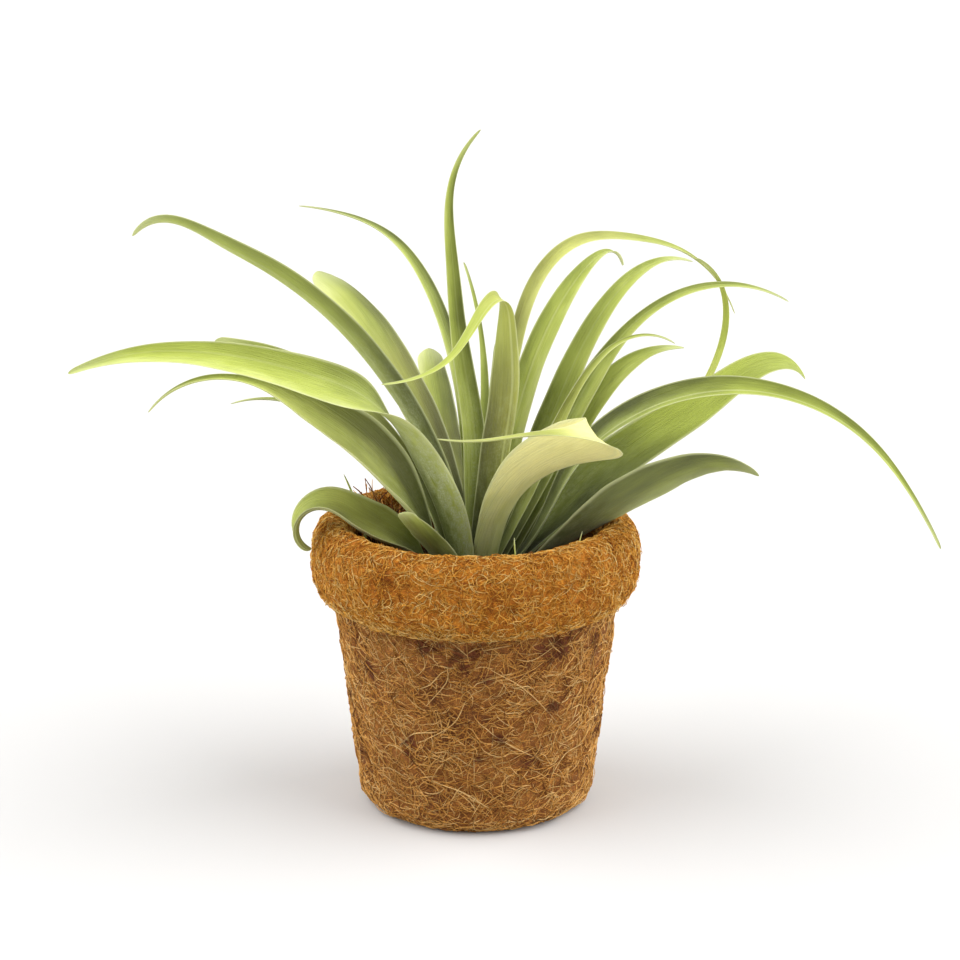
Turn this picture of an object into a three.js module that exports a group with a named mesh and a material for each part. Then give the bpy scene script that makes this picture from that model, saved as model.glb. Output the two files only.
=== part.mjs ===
// An air plant in a coir pot: a loose rosette of long channelled leaves that stands in the filling of a
// tapered coconut-fibre pot with a thick turned-over rim. Millimetres, +Z up. The origin is the middle of
// the pot's flat foot, and the plant is looked at from -Y, so +X is on the right.
import * as THREE from 'three';
import { mergeVertices } from 'three/addons/utils/BufferGeometryUtils.js';

// ---- Driving dimensions: the pot ----
const POT_HEIGHT = 99;
const POT_SIDES = 64;
const FOOT_RADIUS = 40.4;
const FOOT_ROUNDING = 8;
const WALL_RADIUS_UNDER_RIM = 48;
const WALL_RADIUS_AT_LIP = 49.2;
const WALL_THICKNESS = 4;
const LIP_HEIGHT = 95.5;
const LIP_CHAMFER = 1.5;
const FLOOR_THICKNESS = 6;
const FLOOR_RADIUS = 30.4;
const INNER_WALL_BOTTOM = 12;

// ---- The turned-over rim band ----
const BAND_BOTTOM = 72;
const BAND_INNER_BOTTOM = 88;
// its outline over the lip as (radius, height), from its lower edge outside to its lower edge inside
const BAND_OUTLINE = [
  [50.9, BAND_BOTTOM], [53.6, 77], [55, 86], [54, 92], [51.9, 96.5],
  [49.1, 98.6], [47, POT_HEIGHT], [44.4, 98], [42.6, 95], [42.9, BAND_INNER_BOTTOM],
];

// ---- Filling, stem and clearances ----
const CLEARANCE = 0.3;
const FACET_ALLOWANCE = 0.1;
const FILLING_TOP = 79;
const FILLING_CROWN_RADIUS = 16.3;
const FILLING_EDGE_DROP = 3;
const FILLING_SIDES = 32;
const STEM_RADIUS = 2;
const STEM_BOTTOM = 60;
const STEM_TOP = 84;
const STEM_END_RADIUS = 1.2;
const STEM_END_TAPER = 2;
const STEM_SIDES = 12;

// ---- Leaf blades ----
const LEAF_START = FILLING_TOP + 0.6;
const BLADE_THICKNESS = 0.65;
const BLADE_MIN_WIDTH = 0.9;
const BLADE_STEPS_ACROSS = 4;
const BLADE_MIN_SECTIONS = 14;
const PATH_STEPS = 4;
const SHEATH_SHARE = 0.3;
const FLATTEST_BEND = 0.001;

// Each leaf: radius of its foot on the stem, length along the middle, width from foot to tip, half-angle of
// its channel (below 0 the blade arches), then the compass heading (0 = +X, 90 = away from the viewer), the
// lean from upright and the roll about its own line. Lists are evenly spaced from foot to tip, in degrees.
const LEAVES = [
  { name: 'leaf_left_1', base: 10.2, length: 174, width: [9, 11, 12, 16, 14, 10, 6, 1.5], channel: [35],
    heading: [245, 205, 190, 190], lean: [10, 25, 38, 65, 75, 90, 112],
    roll: [0, 20, 30, 5, -52, -58, -60, -60, -60] },
  { name: 'leaf_left_2', base: 5.2, length: 183, width: [8, 12, 12.5, 11, 9.5, 6.5, 1], channel: [35],
    heading: [180, 176, 142], lean: [1, 17, 28, 37, 50, 65, 74, 136], roll: [0, 40, 55, 50] },
  { name: 'leaf_left_3', base: 7.2, length: 118, width: [8, 13, 18, 20, 14], channel: [25, 0, -25],
    heading: [136, 142, 146], lean: [6, 20, 34, 42, 70], roll: [0] },
  { name: 'leaf_left_4', base: 4.2, length: 168, width: [4.5, 7, 6.4, 5.6, 3.6, 0.9], channel: [40],
    heading: [115, 130, 140], lean: [0, 5, 21, 42, 78, 92], roll: [0] },
  { name: 'leaf_left_5', base: 9.2, length: 119, width: [8, 9, 9, 9, 9, 5], channel: [30],
    heading: [170, 168], lean: [11, 26.5, 45.5, 68.5, 84], roll: [0, -30] },
  { name: 'leaf_left_6', base: 12.2, length: 134, width: [10, 16, 22, 23, 15, 5, 3, 1], channel: [60],
    heading: [210, 189, 180], lean: [18, 31, 38, 54, 61, 98, 142], roll: [0, -35, -40, -30, 0] },
  { name: 'leaf_left_7', base: 13.2, length: 100, width: [5, 6, 5, 1], channel: [35], heading: [165],
    lean: [25, 35, 65, 110], roll: [0] },
  { name: 'leaf_left_8', base: 14.2, length: 69, width: [9, 17, 20, 17, 11, 4], channel: [60],
    heading: [209, 196, 181, 181, 190], lean: [44, 48, 61, 61, 140, 246], roll: [0, -25, -20, 10] },
  { name: 'leaf_front_1', base: 3.2, length: 162, width: [6, 9.5, 10, 10, 9.5, 7.5, 4.5, 2.8, 1.6, 0.9],
    channel: [30], heading: [295, 305, 305, 305, 280, 245, 240, 225, 195],
    lean: [5, 15, 10, 15, 5, 5, 105, 125, 105, 90], roll: [0, -30, -30, -40, -20] },
  { name: 'leaf_front_2', base: 7.2, length: 140, width: [9, 12, 19, 26, 17, 6, 3.5, 0.9],
    channel: [30], heading: [290, 305, 325, 340, 270, 200, 190, 180],
    lean: [20, 25, 40, 65, 65, 85, 95, 80], roll: [0, -10, -40, -40, 0, 0] },
  { name: 'leaf_front_3', base: 13.2, length: 40, width: [9, 11, 10, 5], channel: [35],
    heading: [240, 220], lean: [35, 45, 42], roll: [0, 30] },
  { name: 'leaf_right_1', base: 6.2, length: 154, width: [7, 11, 10.5, 9, 4, 1], channel: [55],
    heading: [60, 48, 75], lean: [22, 20, 34, 70, 130], roll: [0, 30, 10] },
  { name: 'leaf_right_2', base: 8.2, length: 143, width: [6, 9, 10, 8, 5, 1], channel: [40],
    heading: [40], lean: [27, 28, 32, 56, 110], roll: [0, 40, 20] },
  { name: 'leaf_right_3', base: 7.2, length: 160, width: [8, 10, 9, 4.5, 3, 0.9], channel: [45],
    heading: [20, 28, 20], lean: [30, 28, 40, 79, 121], roll: [0, 50, 30] },
  { name: 'leaf_right_4', base: 5.2, length: 110, width: [5, 6, 5.5, 3.5, 2, 0.9], channel: [45],
    heading: [12, 20, 15], lean: [28, 26, 26, 50, 125], roll: [0, 40, 20] },
  { name: 'leaf_right_5', base: 10.2, length: 102, width: [5.5, 7.2, 10, 9, 1], channel: [40],
    heading: [22, 20, 17], lean: [31, 30, 31, 50, 97], roll: [0, 35, 20] },
  { name: 'leaf_right_6', base: 11.2, length: 137, width: [8, 13, 17, 15, 12, 8, 1], channel: [35],
    heading: [5, 13, 45], lean: [40, 45, 60, 65, 140], roll: [0, 50, 60, 60] },
  { name: 'leaf_right_7', base: 9.2, length: 198, width: [7, 9.5, 9.5, 8, 5, 2.5, 0.9], channel: [40],
    heading: [350], lean: [45, 25, 53, 81, 111, 140, 154], roll: [0, 40, 50, 50] },
  { name: 'leaf_right_8', base: 14.2, length: 145, width: [6, 6, 5, 3, 2.5, 0.9], channel: [25],
    heading: [25, 30], lean: [50, 60, 55, 40, 5, -65], roll: [0, 40] },
  { name: 'leaf_right_9', base: 13.2, length: 95, width: [10, 16.5, 22, 15.5, 2], channel: [35],
    heading: [342, 346], lean: [58, 52, 55.5, 67, 115], roll: [0, -40, -50] },
  { name: 'leaf_right_10', base: 12.2, length: 56, width: [4, 5, 4.5, 1], channel: [35], heading: [15],
    lean: [40, 55, 55], roll: [0] },
  { name: 'leaf_back_1', base: 3.2, length: 151, width: [6, 9, 8, 6.5, 4.8, 2.8, 0.8], channel: [40],
    heading: [95, 150, 175, 180], lean: [0, 0, 10, 5, 0, -45], roll: [0, -55, -80, -85] },
  { name: 'leaf_back_2', base: 8.2, length: 89, width: [6, 9.5, 12, 12, 9], channel: [25, -30],
    heading: [104], lean: [21, 48, 56, 38, 50], roll: [0] },
  { name: 'leaf_back_3', base: 4.2, length: 215, width: [4, 6.5, 6.5, 5.5, 5, 3, 0.9], channel: [35],
    heading: [55, 40, 45, 35], lean: [5, 15, 20, 90, 110, 155], roll: [0, 0, 25, 30, 25] },
  { name: 'leaf_back_4', base: 5.2, length: 110, width: [4, 4.5, 3.5, 1.8, 0.9], channel: [40],
    heading: [75, 90, 115], lean: [8, 18, 35, 45], roll: [0] },
  { name: 'leaf_back_5', base: 9.2, length: 76, width: [3.5, 4.5, 4, 1], channel: [40], heading: [78],
    lean: [26, 17, 14], roll: [0] },
  { name: 'leaf_back_6', base: 13.2, length: 105, width: [9, 10, 10, 7, 1], channel: [35],
    heading: [55, 52], lean: [35, 60, 85, 110, 140], roll: [0] },
  { name: 'leaf_back_7', base: 12.2, length: 92, width: [9, 10, 9, 6, 1], channel: [35],
    heading: [88, 85], lean: [30, 55, 80, 110, 135], roll: [0] },
  { name: 'leaf_back_8', base: 14.2, length: 88, width: [9, 10, 10, 7, 1], channel: [35],
    heading: [120, 108], lean: [28, 48, 78, 108, 135], roll: [0] },
];

const radians = THREE.MathUtils.degToRad;

/** The value at share s (0 to 1) of a smooth curve through evenly spaced values (Catmull-Rom). */
function along(values, s) {
  if (values.length === 1) {
    return values[0];
  }
  const place = Math.min(Math.max(s, 0), 1) * (values.length - 1);
  const i = Math.min(Math.floor(place), values.length - 2);
  const t = place - i;
  const a = values[i];
  const b = values[i + 1];
  const before = i > 0 ? values[i - 1] : 2 * a - b;
  const after = i < values.length - 2 ? values[i + 2] : 2 * b - a;
  return 0.5 * (2 * a + (b - before) * t + (2 * before - 5 * a + 4 * b - after) * t * t
    + (3 * a - before - 3 * b + after) * t * t * t);
}

/** The directions of a blade at share s: along it, its upper face's normal and its side, after the roll. */
function bladeFrame(leaf, s) {
  const heading = radians(along(leaf.heading, s));
  const lean = radians(along(leaf.lean, s));
  const roll = radians(along(leaf.roll, s));
  const ahead = new THREE.Vector3(Math.sin(lean) * Math.cos(heading), Math.sin(lean) * Math.sin(heading),
    Math.cos(lean));
  const up = new THREE.Vector3(-Math.cos(lean) * Math.cos(heading), -Math.cos(lean) * Math.sin(heading),
    Math.sin(lean));
  const side = new THREE.Vector3(-Math.sin(heading), Math.cos(heading), 0);
  up.applyAxisAngle(ahead, roll);
  side.applyAxisAngle(ahead, roll);
  return { ahead, up, side };
}

/** The cross sections of a blade: each is an arc of even thickness, a gutter open to the upper face. */
function bladeSections(leaf) {
  const count = Math.max(BLADE_MIN_SECTIONS, 2 * leaf.lean.length + 4, 2 * leaf.width.length + 2);
  const stride = leaf.length / count / PATH_STEPS;
  const heading = radians(leaf.heading[0]);
  const middle = new THREE.Vector3(leaf.base * Math.cos(heading), leaf.base * Math.sin(heading), LEAF_START);
  const sections = [];
  for (let k = 0; k <= count; k += 1) {
    sections.push(bladeRing(leaf, k / count, middle));
    for (let step = 0.5; step < PATH_STEPS; step += 1) {
      middle.addScaledVector(bladeFrame(leaf, (k + step / PATH_STEPS) / count).ahead, stride);
    }
  }
  return sections;
}

/** One ring of a blade at share s, upper face first: its foot hugs the stem and it opens to a channel. */
function bladeRing(leaf, s, middle) {
  const { up, side } = bladeFrame(leaf, s);
  const half = Math.max(along(leaf.width, s), BLADE_MIN_WIDTH) / 2;
  const opening = THREE.MathUtils.smoothstep(s, 0, SHEATH_SHARE);
  const bend = THREE.MathUtils.lerp(half / leaf.base, radians(along(leaf.channel, s)), opening);
  const radius = half / (Math.abs(bend) < FLATTEST_BEND ? FLATTEST_BEND : bend);
  const point = (across, lift) => middle.clone()
    .addScaledVector(side, (radius - lift) * Math.sin(across * half / radius))
    .addScaledVector(up, radius - (radius - lift) * Math.cos(across * half / radius));
  const ring = [];
  for (let j = 0; j <= BLADE_STEPS_ACROSS; j += 1) {
    ring.push(point(2 * j / BLADE_STEPS_ACROSS - 1, BLADE_THICKNESS / 2));
  }
  for (let j = BLADE_STEPS_ACROSS; j >= 0; j -= 1) {
    ring.push(point(2 * j / BLADE_STEPS_ACROSS - 1, -BLADE_THICKNESS / 2));
  }
  return ring;
}

/** A closed skin over a row of rings of equal size, with flat ends made of strips across the blade. */
function skin(sections) {
  const size = sections[0].length;
  const faces = [];
  const at = (ring, j) => ring * size + (j % size);
  for (let k = 0; k + 1 < sections.length; k += 1) {
    for (let j = 0; j < size; j += 1) {
      // the lower face runs the other way across, so it is split the other way to share one diagonal
      if (j < size / 2) {
        faces.push(at(k, j), at(k + 1, j + 1), at(k, j + 1), at(k, j), at(k + 1, j), at(k + 1, j + 1));
      } else {
        faces.push(at(k, j), at(k + 1, j), at(k, j + 1), at(k, j + 1), at(k + 1, j), at(k + 1, j + 1));
      }
    }
  }
  const last = sections.length - 1;
  for (let a = 0; a + 1 < size / 2; a += 1) {
    const b = a + 1;
    const c = size - 2 - a;
    const d = size - 1 - a;
    faces.push(at(0, a), at(0, b), at(0, c), at(0, a), at(0, c), at(0, d));
    faces.push(at(last, a), at(last, c), at(last, b), at(last, a), at(last, d), at(last, c));
  }
  const geometry = new THREE.BufferGeometry().setFromPoints(sections.flat());
  geometry.setIndex(faces);
  return geometry;
}

/** A body of revolution about Z from (radius, height) pairs that start and end on the axis or close. */
function turned(profile, sides) {
  const points = profile.map(([radius, height]) => new THREE.Vector2(radius, height));
  const geometry = new THREE.LatheGeometry(points, sides);
  geometry.rotateX(Math.PI / 2);
  geometry.deleteAttribute('normal');
  geometry.deleteAttribute('uv');
  return mergeVertices(geometry, 1e-3);
}

/** The tapered pot: thick fibre wall and floor, a rounded foot and an open top. */
function pot() {
  const rounding = [];
  for (let k = 0; k <= 4; k += 1) {
    const angle = (k / 4) * Math.PI / 2;
    const inset = FOOT_ROUNDING * (1 - Math.sin(angle));
    rounding.push([FOOT_RADIUS - inset, FOOT_ROUNDING * (1 - Math.cos(angle))]);
  }
  return turned([
    [0, 0],
    ...rounding,
    [WALL_RADIUS_UNDER_RIM, BAND_BOTTOM],
    [WALL_RADIUS_AT_LIP, LIP_HEIGHT - LIP_CHAMFER],
    [WALL_RADIUS_AT_LIP - LIP_CHAMFER, LIP_HEIGHT],
    [WALL_RADIUS_AT_LIP - WALL_THICKNESS + LIP_CHAMFER, LIP_HEIGHT],
    [WALL_RADIUS_AT_LIP - WALL_THICKNESS, LIP_HEIGHT - LIP_CHAMFER],
    [WALL_RADIUS_UNDER_RIM - WALL_THICKNESS, BAND_BOTTOM],
    [FOOT_RADIUS - WALL_THICKNESS, INNER_WALL_BOTTOM],
    [FLOOR_RADIUS, FLOOR_THICKNESS],
    [0, FLOOR_THICKNESS],
  ], POT_SIDES);
}

/** The rim band: a thick strip of felted fibre folded over the lip, full outside and short inside. */
function rimBand() {
  const gap = CLEARANCE + FACET_ALLOWANCE;
  const lipInside = WALL_RADIUS_AT_LIP - WALL_THICKNESS - gap;
  const wallUnderRim = WALL_RADIUS_UNDER_RIM + gap;
  return turned([
    [wallUnderRim, BAND_BOTTOM],
    ...BAND_OUTLINE,
    [lipInside - CLEARANCE, BAND_INNER_BOTTOM],
    [lipInside, LIP_HEIGHT + CLEARANCE],
    [WALL_RADIUS_AT_LIP + gap, LIP_HEIGHT + CLEARANCE],
    [wallUnderRim, BAND_BOTTOM],
  ], POT_SIDES);
}

/** The filling: packed fibre up to a little below the rim, with a plain blind hole for the stem. */
function filling() {
  const gap = WALL_THICKNESS + CLEARANCE + FACET_ALLOWANCE;
  const hole = STEM_RADIUS + CLEARANCE;
  return turned([
    [0, FLOOR_THICKNESS + CLEARANCE],
    [FLOOR_RADIUS - CLEARANCE, FLOOR_THICKNESS + CLEARANCE],
    [FOOT_RADIUS - gap, INNER_WALL_BOTTOM + CLEARANCE],
    [WALL_RADIUS_UNDER_RIM - gap, BAND_BOTTOM],
    [WALL_RADIUS_UNDER_RIM - gap, FILLING_TOP - FILLING_EDGE_DROP],
    [FILLING_CROWN_RADIUS, FILLING_TOP],
    [hole, FILLING_TOP],
    [hole, STEM_BOTTOM - CLEARANCE],
    [0, STEM_BOTTOM - CLEARANCE],
  ], FILLING_SIDES);
}

/** The short stem that carries the rosette, in the hole of the filling. */
function stem() {
  return turned([
    [0, STEM_BOTTOM],
    [STEM_END_RADIUS, STEM_BOTTOM],
    [STEM_RADIUS, STEM_BOTTOM + STEM_END_TAPER],
    [STEM_RADIUS, STEM_TOP - STEM_END_TAPER],
    [STEM_END_RADIUS, STEM_TOP],
    [0, STEM_TOP],
  ], STEM_SIDES);
}

const coir = new THREE.MeshStandardMaterial({ color: 0x9a6a3a, roughness: 0.95, metalness: 0 });
const felt = new THREE.MeshStandardMaterial({ color: 0xb07a35, roughness: 0.95, metalness: 0 });
const packedFibre = new THREE.MeshStandardMaterial({ color: 0x4a3420, roughness: 1, metalness: 0 });
const stemSkin = new THREE.MeshStandardMaterial({ color: 0x8a7a55, roughness: 0.8, metalness: 0 });
const leafSkin = new THREE.MeshStandardMaterial({ color: 0x8fa25e, roughness: 0.6, metalness: 0 });

const plant = new THREE.Group();

function add(name, geometry, material) {
  const mesh = new THREE.Mesh(geometry, material);
  mesh.name = name;
  plant.add(mesh);
}

add('coir_pot', pot(), coir);
add('rim_band', rimBand(), felt);
add('filling', filling(), packedFibre);
add('stem', stem(), stemSkin);
for (const leaf of LEAVES) {
  add(leaf.name, skin(bladeSections(leaf)), leafSkin);
}

export default plant;
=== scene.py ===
"""An air plant in a coir pot: a rosette of channelled, silvery green leaves in pressed coconut fibre.

Metres, +Z up. The origin is the middle of the pot's foot, and the viewer stands on the -Y side.
"""

import math

import bpy
import numpy as np
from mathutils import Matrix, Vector


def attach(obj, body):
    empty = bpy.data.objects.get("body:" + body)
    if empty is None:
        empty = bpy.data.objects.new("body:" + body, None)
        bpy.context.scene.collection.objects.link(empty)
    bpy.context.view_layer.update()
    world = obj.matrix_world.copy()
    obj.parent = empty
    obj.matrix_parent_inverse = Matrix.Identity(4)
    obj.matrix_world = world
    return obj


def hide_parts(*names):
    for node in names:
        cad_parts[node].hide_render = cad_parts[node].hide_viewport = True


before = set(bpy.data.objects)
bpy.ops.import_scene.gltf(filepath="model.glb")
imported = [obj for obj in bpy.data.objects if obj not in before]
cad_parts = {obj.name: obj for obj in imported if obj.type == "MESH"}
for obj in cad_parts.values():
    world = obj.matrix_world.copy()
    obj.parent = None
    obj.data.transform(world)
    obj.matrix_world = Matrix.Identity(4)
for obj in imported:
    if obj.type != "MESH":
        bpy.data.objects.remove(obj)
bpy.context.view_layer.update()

MM = 0.001

# ---- The leaves, in millimetres and degrees ----
# base, length, width: the radius of the foot on the stem, the length, and the widths from foot to tip.
# channel: half the angle of the blade's arc. Below 0 the blade is arched, with its back up.
# heading (0 = +X, 90 = away from the viewer), lean from upright, roll about its own line: from foot to tip.
# look: how lime, how tan and how dark the leaf is, its darkness partly painted shade. Below 0 the last one
# makes it paler.
# The last entry: where a painted highlight line runs across the blade (-1 to 1), how much painted shade
# darkens the flank beside it (below 0 for the side of -1), and how clear the highlight line is.
LEAVES = {
    "left_1": dict(
        base=10.2, length=174, width=(9, 11, 12, 16, 14, 10, 6, 1.5), channel=(35,),
        heading=(245, 205, 190, 190), lean=(10, 25, 38, 65, 75, 90, 112),
        roll=(0, 20, 30, 5, -52, -58, -60, -60, -60), look=(0.8, 0, 0.08), painted_light=(-0.2, -0.8, 0.3)),
    "left_2": dict(
        base=5.2, length=183, width=(8, 12, 12.5, 11, 9.5, 6.5, 1), channel=(35,),
        heading=(180, 176, 142), lean=(1, 17, 28, 37, 50, 65, 74, 136), roll=(0, 40, 55, 50),
        look=(0.5, 0, -0.05), painted_light=(0, 1.2, 0.4)),
    "left_3": dict(
        base=7.2, length=118, width=(8, 13, 18, 20, 14), channel=(25, 0, -25), heading=(136, 142, 146),
        lean=(6, 20, 34, 42, 70), roll=(0,), look=(0.2, 0.35, 0.03), painted_light=(0.1, -1, 0)),
    "left_4": dict(
        base=4.2, length=168, width=(4.5, 7, 6.4, 5.6, 3.6, 0.9), channel=(40,), heading=(115, 130, 140),
        lean=(0, 5, 21, 42, 78, 92), roll=(0,), look=(0, 0, 0.1), painted_light=(0, -0.8, 0.3)),
    "left_5": dict(
        base=9.2, length=119, width=(8, 9, 9, 9, 9, 5), channel=(30,), heading=(170, 168),
        lean=(11, 26.5, 45.5, 68.5, 84), roll=(0, -30), look=(0.1, 0.2, 0.15), painted_light=(0, -0.5, 0)),
    "left_6": dict(
        base=12.2, length=134, width=(10, 16, 22, 23, 15, 5, 3, 1), channel=(60,),
        heading=(210, 189, 180), lean=(18, 31, 38, 54, 61, 98, 142), roll=(0, -35, -40, -30, 0),
        look=(0.5, 0.2, 0.02), painted_light=(0.1, -1.35, 0)),
    "left_7": dict(
        base=13.2, length=100, width=(5, 6, 5, 1), channel=(35,), heading=(165,), lean=(25, 35, 65, 110),
        roll=(0,), look=(0, 0, 0), painted_light=(0, 0, 0)),
    "left_8": dict(
        base=14.2, length=69, width=(9, 17, 20, 17, 11, 4), channel=(60,),
        heading=(209, 196, 181, 181, 190), lean=(44, 48, 61, 61, 140, 246), roll=(0, -25, -20, 10),
        look=(0, 0.3, 0.6), painted_light=(0.78, 0.3, 1)),
    "front_1": dict(
        base=3.2, length=162, width=(6, 9.5, 10, 10, 9.5, 7.5, 4.5, 2.8, 1.6, 0.9), channel=(30,),
        heading=(295, 305, 305, 305, 280, 245, 240, 225, 195),
        lean=(5, 15, 10, 15, 5, 5, 105, 125, 105, 90), roll=(0, -30, -30, -40, -20),
        look=(1.3, 0.4, 0.4), painted_light=(0.5, -0.4, 0.8)),
    "front_2": dict(
        base=7.2, length=140, width=(9, 12, 19, 26, 17, 6, 3.5, 0.9), channel=(30,),
        heading=(290, 305, 325, 340, 270, 200, 190, 180), lean=(20, 25, 40, 65, 65, 85, 95, 80),
        roll=(0, -10, -40, -40, 0, 0), look=(0.3, 1, -0.9), painted_light=(0.75, 0.2, 0.6)),
    "front_3": dict(
        base=13.2, length=40, width=(9, 11, 10, 5), channel=(35,), heading=(240, 220), lean=(35, 45, 42),
        roll=(0, 30), look=(0, 0, 0), painted_light=(0, 0, 0.3)),
    "right_1": dict(
        base=6.2, length=154, width=(7, 11, 10.5, 9, 4, 1), channel=(55,), heading=(60, 48, 75),
        lean=(22, 20, 34, 70, 130), roll=(0, 30, 10), look=(0.35, 0, -0.25), painted_light=(0, 0.5, 0.6)),
    "right_2": dict(
        base=8.2, length=143, width=(6, 9, 10, 8, 5, 1), channel=(40,), heading=(40,),
        lean=(27, 28, 32, 56, 110), roll=(0, 40, 20), look=(0.2, 0, -0.12), painted_light=(0, 0.5, 0.3)),
    "right_3": dict(
        base=7.2, length=160, width=(8, 10, 9, 4.5, 3, 0.9), channel=(45,), heading=(20, 28, 20),
        lean=(30, 28, 40, 79, 121), roll=(0, 50, 30), look=(0, 0, 0.02), painted_light=(0.1, 0.6, 0.3)),
    "right_4": dict(
        base=5.2, length=110, width=(5, 6, 5.5, 3.5, 2, 0.9), channel=(45,), heading=(12, 20, 15),
        lean=(28, 26, 26, 50, 125), roll=(0, 40, 20), look=(0.1, 0.2, 0), painted_light=(0, 0.6, 0.3)),
    "right_5": dict(
        base=10.2, length=102, width=(5.5, 7.2, 10, 9, 1), channel=(40,), heading=(22, 20, 17),
        lean=(31, 30, 31, 50, 97), roll=(0, 35, 20), look=(0.1, 0, -0.12), painted_light=(0, 0.5, 0)),
    "right_6": dict(
        base=11.2, length=137, width=(8, 13, 17, 15, 12, 8, 1), channel=(35,), heading=(5, 13, 45),
        lean=(40, 45, 60, 65, 140), roll=(0, 50, 60, 60), look=(0.9, 0, 0.42), painted_light=(0, -0.4, 0)),
    "right_7": dict(
        base=9.2, length=198, width=(7, 9.5, 9.5, 8, 5, 2.5, 0.9), channel=(40,), heading=(350,),
        lean=(45, 25, 53, 81, 111, 140, 154), roll=(0, 40, 50, 50), look=(0.4, 0, 0.05),
        painted_light=(-0.45, 0.6, 0.9)),
    "right_8": dict(
        base=14.2, length=145, width=(6, 6, 5, 3, 2.5, 0.9), channel=(25,), heading=(25, 30),
        lean=(50, 60, 55, 40, 5, -65), roll=(0, 40), look=(1, 0.3, -0.3), painted_light=(0, 0, 0)),
    "right_9": dict(
        base=13.2, length=95, width=(10, 16.5, 22, 15.5, 2), channel=(35,), heading=(342, 346),
        lean=(58, 52, 55.5, 67, 115), roll=(0, -40, -50), look=(0, 0, 0.2), painted_light=(0.3, -0.7, 0)),
    "right_10": dict(
        base=12.2, length=56, width=(4, 5, 4.5, 1), channel=(35,), heading=(15,), lean=(40, 55, 55),
        roll=(0,), look=(0, 0, 0.5), painted_light=(0, 0.4, 0)),
    "back_1": dict(
        base=3.2, length=151, width=(6, 9, 8, 6.5, 4.8, 2.8, 0.8), channel=(40,),
        heading=(95, 150, 175, 180), lean=(0, 0, 10, 5, 0, -45), roll=(0, -55, -80, -85),
        look=(0, 0, 0.15), painted_light=(-0.1, -0.6, 0.2)),
    "back_2": dict(
        base=8.2, length=89, width=(6, 9.5, 12, 12, 9), channel=(25, -30), heading=(104,),
        lean=(21, 48, 56, 38, 50), roll=(0,), look=(0, 0.2, 0.12), painted_light=(0.1, -1, 0)),
    "back_3": dict(
        base=4.2, length=215, width=(4, 6.5, 6.5, 5.5, 5, 3, 0.9), channel=(35,),
        heading=(55, 40, 45, 35), lean=(5, 15, 20, 90, 110, 155), roll=(0, 0, 25, 30, 25),
        look=(0.5, 0.4, 0), painted_light=(0, 0.5, 0)),
    "back_4": dict(
        base=5.2, length=110, width=(4, 4.5, 3.5, 1.8, 0.9), channel=(40,), heading=(75, 90, 115),
        lean=(8, 18, 35, 45), roll=(0,), look=(0.1, 0, 0.2), painted_light=(0, -0.4, 0)),
    "back_5": dict(
        base=9.2, length=76, width=(3.5, 4.5, 4, 1), channel=(40,), heading=(78,), lean=(26, 17, 14),
        roll=(0,), look=(0, 0, 0.1), painted_light=(0, -0.4, 0)),
    "back_6": dict(
        base=13.2, length=105, width=(9, 10, 10, 7, 1), channel=(35,), heading=(55, 52),
        lean=(35, 60, 85, 110, 140), roll=(0,), look=(0.3, 0, 0), painted_light=(0, 0.4, 0.3)),
    "back_7": dict(
        base=12.2, length=92, width=(9, 10, 9, 6, 1), channel=(35,), heading=(88, 85),
        lean=(30, 55, 80, 110, 135), roll=(0,), look=(0.2, 0.1, 0), painted_light=(0, 0.4, 0.3)),
    "back_8": dict(
        base=14.2, length=88, width=(9, 10, 10, 7, 1), channel=(35,), heading=(120, 108),
        lean=(28, 48, 78, 108, 135), roll=(0,), look=(0.2, 0, 0.1), painted_light=(0, 0.4, 0.3)),
}

# ---- Thin young shoots at the rim: as a leaf, but with the place of the foot ----
SHOOTS = {
    "far_left": dict(
        foot=(-37, 8, 86), base=6, length=26, width=(1.2, 1.6, 1.3, 0.5), channel=(30,), heading=(150,),
        lean=(12, 20, 30), roll=(0,), look=(1, 0.3, -0.6), painted_light=(0, 0, 0)),
    "near_middle": dict(
        foot=(15, -38, 84), base=6, length=19, width=(1.2, 1.4, 1, 0.4), channel=(30,), heading=(190,),
        lean=(15, 8, 2), roll=(0,), look=(1, 0.3, -0.6), painted_light=(0, 0, 0)),
    "near_right": dict(
        foot=(31, -30, 84), base=6, length=19, width=(1.2, 1.4, 1, 0.4), channel=(30,), heading=(350,),
        lean=(5, 10, 16), roll=(0,), look=(1, 0.3, -0.6), painted_light=(0, 0, 0)),
}

# ---- How a blade is built, in millimetres where it is a length ----
LEAF_START = 79.6        # height of the leaf feet
SHEATH_SHARE = 0.3       # share of the length over which the foot opens to the channel
LEAF_ROW_STEP = 1.2      # from row to row of points along the blade
LEAF_COLUMNS = 15        # points across each face
PATH_STEPS = 400         # steps in which the blade's line is summed up
THICKEST = 0.95          # thickness at the foot of a broad blade
NARROWEST = 0.45         # least width, before the tip is rounded off
GROOVE_WIDTH = 0.7
GROOVE_DEPTH = 0.16
PATTERN_STEP = 13.7      # from one leaf's streaks and flecks to the next one's

# ---- The pot, in millimetres: outlines as (radius, height) ----
WALL_OUTSIDE = ((32.4, 0.2), (35.5, 0.7), (38.1, 2.4), (39.8, 4.9), (40.4, 8), (42.3, 24), (44.2, 40),
                (46.1, 56), (48, 72))
WALL_LIP = ((49.2, 94), (47.5, 95.5), (46.7, 95.5), (45.2, 94))
WALL_INSIDE = ((44, 72), (36.4, 12), (30.4, 6), (0.5, 6))
BAND_OUTSIDE = ((50.3, 72.4), (51.6, 72.2), (53.4, 75.5), (54.5, 80), (55, 86), (54.2, 92), (51.9, 96.5),
                (49.1, 98.6), (47, 99), (44.4, 98), (42.6, 95), (42.9, 88))
HEM_OUTLINE = ((50.3, 72.4), (51.6, 72.2), (52.6, 73.7), (53.3, 75.3))
BAND_LINING = ((44.6, 88), (44.8, 95.9), (49.8, 95.9), (48.5, 72.4))
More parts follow.
